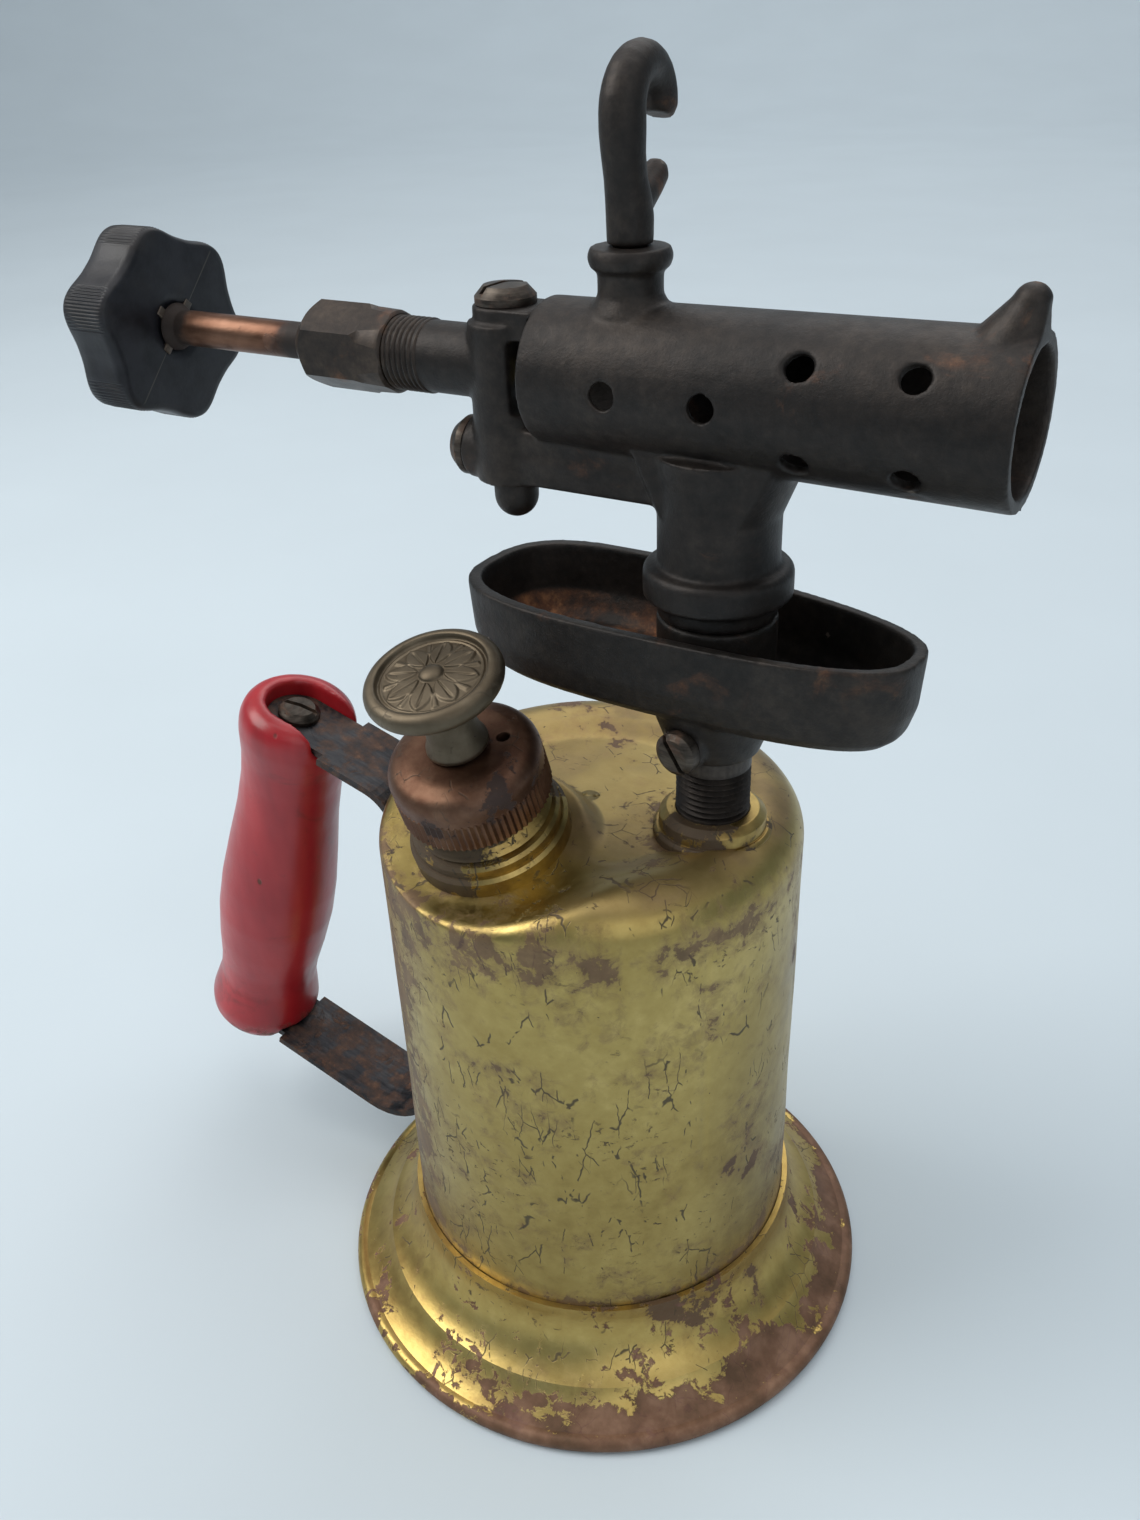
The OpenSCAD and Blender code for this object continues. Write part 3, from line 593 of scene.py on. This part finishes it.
# The tank's shell, pressed up round the pump's neck
TANK_R, TANK_FOOT, TANK_TOP, SHOULDER, DISH_Z = 50.8, 22, 152.2, 10.9, 149.4
TANK_STEPS = 360
NECK_HOLE, COLLAR_HOLE = 17.6, 12.4
SEAT_R, BOSS_END, SLOPE_END = 20.2, 27.0, 41.0
SEAM_AT, SEAM_TOP = 329.0, 139


def tank_rings():
    straight = TANK_TOP - SHOULDER
    rings = [(TANK_R, TANK_FOOT + 1.9 * i) for i in range(63)]
    centre_r = TANK_R - SHOULDER
    for i in range(26):
        a = math.radians(108 * i / 25)
        rings.append((centre_r + SHOULDER * math.cos(a), straight + SHOULDER * math.sin(a)))
    r0, z0 = rings[-1]
    steps = 44
    for i in range(1, steps):
        r = r0 * (1 - i / steps)
        rings.append((r, DISH_Z + (z0 - DISH_Z) * (1 - ease(0, 9, r0 - r))))
    return rings


def off_pump_axis(p):
    off = p - PUMP_AT
    return (off - PUMP_UP * off.dot(PUMP_UP)).length


def press(p, ring, angle):
    """Seat of the neck, shallow dents, and a line where the sheet was joined."""
    out = Vector((p.x, p.y, 0))
    slope = PUMP_UP.x * (p.x - PUMP_AT.x) + PUMP_UP.y * (p.y - PUMP_AT.y)
    seat_z = PUMP_AT.z - (0.5 + slope) / PUMP_UP.z
    end = BOSS_END if seat_z > p.z else SLOPE_END
    pull = 1 - ease(SEAT_R, end, off_pump_axis(Vector((p.x, p.y, seat_z))))
    z = p.z + (seat_z - p.z) * pull
    if out.length > TANK_R - 0.01:
        z = min(p.z, z)
    dent = noise.noise(p * 0.035 + Vector((3.1, 7.7, 1.9)))
    # the innermost ring moves out onto its neighbour
    shift = 0.22 * dent - 0.05 if out.length > 1 else out.length
    if abs(math.degrees(angle) - SEAM_AT) < 0.5 and p.z < SEAM_TOP:
        shift = 1.9 * shift - 0.10
    out += out.normalized() * shift
    return Vector((out.x, out.y, z + (0.25 * dent if p.z > 149 else 0)))


def in_neck(p):
    return p.z > 130 and off_pump_axis(p) < NECK_HOLE


def in_collar(p):
    return p.z > 140 and math.hypot(p.x - RISER_X, p.y) < COLLAR_HOLE


def opened(points, faces, test):
    """The faces that don't lie wholly inside a hole."""
    return [f for f in faces if not all(test(points[i]) for i in f)]


def build_tank():
    rings = tank_rings()
    points, faces = turned(rings, TANK_STEPS, shape=press)
    cap_ring(points, faces, len(rings) - 1, TANK_STEPS, Vector((0, 0, DISH_Z)))
    for hole in (in_neck, in_collar):
        faces = opened(points, faces, hole)
    tank = build("tank_body", points, faces, "torch", "tank_brass", ["tank_shell"])
    modifier(tank, "SOLIDIFY", thickness=0.9 * MM, offset=-1.0)


build_tank()

# Six-lobed wheel: ribs on the lobes only, smooth hollows between them
WHEEL_X, WHEEL_T, WHEEL_R = -108.7, 13.6, 22.7
WHEEL_STEPS, LOBES, LOBE_TURN, HOLLOW, RIBS = 1440, 6, 39.0, 2.9, 180
AXES_TO_X = Matrix(((0, 0, 1, 0), (1, 0, 0, 0), (0, 1, 0, 0), (0, 0, 0, 1)))
WHEEL_PLACE = Matrix.Translation((WHEEL_X - WHEEL_T, 0, BURNER_Z)) @ AXES_TO_X
# (depth under the rim, height), or a negative radius where the ring is round
WHEEL_HUB_TOP = [(-4.06, 13.0), (-5.6, 13.0), (-6.1, 13.55), (-8.0, 13.6)]
WHEEL_EDGE = [(2.2, 0.0), (1.0, 0.15), (0.45, 0.6), (0.2, 1.3)]
WHEEL_HUB_BACK = [(-9.0, 0.0), (-7.6, 0.1), (-7.3, 1.3), (-4.06, 1.3)]
WHEEL_RINGS = (
    WHEEL_HUB_TOP
    + [(depth, WHEEL_T - z) for depth, z in WHEEL_EDGE]
    + [(0, 11.9 - 1.025 * i) for i in range(9)]
    + WHEEL_EDGE[::-1]
    + WHEEL_HUB_BACK
)


def lobed(p, ring, angle):
    depth, z = WHEEL_RINGS[ring]
    swell = (0.5 + 0.5 * math.cos(LOBES * (angle - math.radians(LOBE_TURN)))) ** 1.25
    r = -depth if depth < 0 else WHEEL_R - HOLLOW * (1 - swell) - depth
    if depth == 0:
        r -= 0.26 * ease(0.40, 0.60, swell) * (0.5 + 0.5 * math.cos(angle * RIBS))
    return Vector((r * math.cos(angle), r * math.sin(angle), z))


def build_wheel():
    points, faces = turned([(1, 1)] * len(WHEEL_RINGS), WHEEL_STEPS, WHEEL_PLACE, lobed, closed=True)
    faces = [tuple(reversed(f)) for f in faces]
    build("valve_wheel_body", points, faces, "valve_stem", "hard_rubber", ["valve_wheel"])


def box_points(low, high, place):
    xs, ys, zs = zip(low, high)
    points = [place @ Vector((x, y, z)) for x in xs for y in ys for z in zs]
    faces = [(0, 1, 3, 2), (4, 6, 7, 5), (0, 4, 5, 1), (2, 3, 7, 6), (0, 2, 6, 4), (1, 5, 7, 3)]
    return points, faces


def build_insert():
    """Cross of the wheel's metal insert, round the spindle."""
    points, faces = [], []
    for k in range(4):
        arm = WHEEL_PLACE @ Matrix.Rotation(math.radians(90 * k + 45), 4, "Z")
        arm_points, arm_faces = box_points((3.9, -1.1, 12.9), (6.9, 1.1, 13.85), arm)
        faces += [tuple(i + len(points) for i in f) for f in arm_faces]
        points += arm_points
    cross = build("wheel_insert", points, faces, "valve_stem", "nut_iron")
    modifier(cross, "BEVEL", width=0.25 * MM, segments=2)


build_wheel()
build_insert()

# Push knob with a plain rosette
KNOB_R, KNOB_TOP, KNOB_STEPS = 15.1, 49.7, 320
KNOB_FACE = KNOB_TOP - 1.0
KNOB_SOCKET = 38.6
KNOB_STALK = [
    (3.05, KNOB_SOCKET), (3.05, 28.9), (6.8, 28.9), (7.0, 29.3), (6.9, 30.2), (6.2, 31.6), (5.85, 33.5),
    (5.7, 37.0), (5.8, 40.5), (6.5, 42.3), (8.0, 43.4), (10.2, 44.1), (12.2, 44.7),
]
PETALS, PETAL_IN, PETAL_OUT, FACE_R = 8, 2.9, 10.6, 11.75
FACE_SINK, CROWN, BOSS_R, BOSS_RISE = 0.45, 0.9, 2.7, 1.25


def knob_rings():
    rings = list(KNOB_STALK)
    for i in range(13):
        a = math.radians(-66 + 166 * i / 12)
        rings.append((KNOB_R - 2.4 + 2.4 * math.cos(a), KNOB_TOP - 2.5 + 2.5 * math.sin(a)))
    rings += [(12.1, KNOB_TOP - 0.25), (11.85, KNOB_TOP - 0.75)]
    rings += [(11.7 - 0.18 * i, KNOB_FACE) for i in range(65)]
    return rings


def from_ray(angle, turn):
    """0 on one of the rosette's rays, 1 halfway to the next."""
    return abs((angle * PETALS / TAU + turn) % 1.0 - 0.5) * 2


def rosette(p, ring, angle):
    r = math.hypot(p.x, p.y)
    if p.z < KNOB_FACE - 0.3 or r > FACE_R:
        return p
    rise = CROWN * (1 - (r / 12.0) ** 2) - FACE_SINK
    if PETAL_IN < r < PETAL_OUT:
        u = (r - PETAL_IN) / (PETAL_OUT - PETAL_IN)
        width = math.sin(math.pi * min(1.0, u ** 0.72)) ** 0.7
        across = from_ray(angle, 0.0)
        rise += ease(width + 0.02, width - 0.22, across) * 0.42
        rise -= ease(0.13, 0.03, across) * 0.32 * ease(0.95, 0.7, u)
        rise += 0.35 * ease(0.24, 0.06, from_ray(angle, 0.5)) * ease(0.35, 0.5, u) * ease(1.0, 0.9, u)
    if PETAL_OUT <= r < PETAL_OUT + 0.7:
        rise += 0.30 * math.sin(math.pi * (r - PETAL_OUT) / 0.7)
    if r < BOSS_R:
        rise += BOSS_RISE * math.sqrt(max(0.0, 1 - (r / BOSS_R) ** 2))
    return Vector((p.x, p.y, p.z + rise))


def build_knob():
    rings = knob_rings()
    points, faces = turned(rings, KNOB_STEPS, PUMP_PLACE, rosette)
    tip = KNOB_FACE - FACE_SINK + CROWN + BOSS_RISE
    cap_ring(points, faces, len(rings) - 1, KNOB_STEPS, PUMP_PLACE @ Vector((0, 0, tip)))
    cap_ring(points, faces, 0, KNOB_STEPS, PUMP_PLACE @ Vector((0, 0, KNOB_SOCKET)), flip=True)
    build("push_knob", points, faces, "plunger", "knob_bronze", ["pump_knob"])


build_knob()


def screw_thread(name, place, crest, root, start, end, pitch, slot):
    """A right-hand helical ridge lying on a plain shank."""
    steps = 48
    count = int((end - start) / pitch * steps)
    buried, flank = root - 0.25, crest - 0.06
    half = [(buried, -0.5), (root, -0.5), (flank, -0.1), (crest, 0.0)]
    section = half + [(r, -h) for r, h in half[-2::-1]]
    points, faces = [], []
    for i in range(count + 1):
        a = TAU * i / steps
        fade = ease(0, 12, i) * ease(0, 12, count - i)
        for r, h in section:
            r = root + (r - root) * fade if r > root else r
            z = start + pitch * (i / steps + 0.94 * h)
            points.append(place @ Vector((r * math.cos(a), r * math.sin(a), z)))
    n = len(section)
    for i in range(count):
        for k in range(n):
            m = (k + 1) % n
            faces.append((i * n + k, i * n + m, (i + 1) * n + m, (i + 1) * n + k))
    faces.append(tuple(range(n - 1, -1, -1)))
    faces.append(tuple(count * n + k for k in range(n)))
    build(name, points, faces, "torch", slot)


NECK_PLACE = Matrix.Translation((0, 0, BURNER_Z)) @ Matrix.Rotation(math.radians(-90), 4, "Y")
screw_thread("neck_thread", NECK_PLACE, 7.75, 7.15, 33.6, 47.5, 1.35, "nut_iron")

# ---------------------------------------------------------------- stage


def plain(name, colour, rough):
    s = Shade(name)
    s.colour(s.ramp(s.noise(6, 3, 0.5), [(0.3, tuple(c * 0.97 for c in colour)), (0.7, colour)]))
    s.set(Roughness=rough)
    return s.mat


def backdrop():
    """Round floor, in metres, whose edge curves up into a low wall."""
    flat, bend, top, around = 3.0, 2.2, 3.4, 96
    line = [(0.02, 0.0), (1.0, 0.0), (flat, 0.0)]
    for i in range(1, 17):
        a = math.radians(90 * i / 16)
        line.append((flat + bend * math.sin(a), bend - bend * math.cos(a)))
    line.append((flat + bend, top))
    points, faces = turned(line, around)
    cap_ring(points, faces, 0, around, Vector((0, 0, 0)), flip=True)
    mesh = bpy.data.meshes.new("floor")
    mesh.from_pydata(points, [], faces)
    mesh.polygons.foreach_set("use_smooth", [True] * len(mesh.polygons))
    floor = bpy.data.objects.new("floor", mesh)
    bpy.context.collection.objects.link(floor)
    mesh.materials.append(plain("floor_pale", (0.60, 0.68, 0.73), 0.85))


backdrop()


def area(name, at, look, size, power, colour=(1, 1, 1)):
    data = bpy.data.lights.new(name, "AREA")
    data.shape = "RECTANGLE"
    data.size, data.size_y = size
    data.energy = power
    data.color = colour
    lamp = bpy.data.objects.new(name, data)
    bpy.context.collection.objects.link(lamp)
    lamp.location = at
    lamp.rotation_euler = (Vector(look) - Vector(at)).to_track_quat("-Z", "Y").to_euler()


area("key", (-0.95, -0.55, 1.25), (0, 0, 0.15), (1.0, 1.0), 15.0, (1.0, 0.98, 0.95))
area("fill", (1.1, -0.9, 0.8), (0, 0, 0.12), (1.2, 1.2), 4.0)
area("sky", (0.1, 0.4, 1.7), (0, 0, 0.1), (1.8, 1.8), 12.0)
area("back", (-0.9, 2.6, 2.3), (-1.2, 3.2, 0.0), (2.4, 2.4), 28.0)

world = bpy.data.worlds.new("studio")
world.use_nodes = True
sky = world.node_tree.nodes["Background"]
sky.inputs["Color"].default_value = (0.93, 0.965, 1.0, 1.0)
sky.inputs["Strength"].default_value = 0.42
bpy.context.scene.world = world

bpy.context.scene.view_settings.view_transform = "Standard"
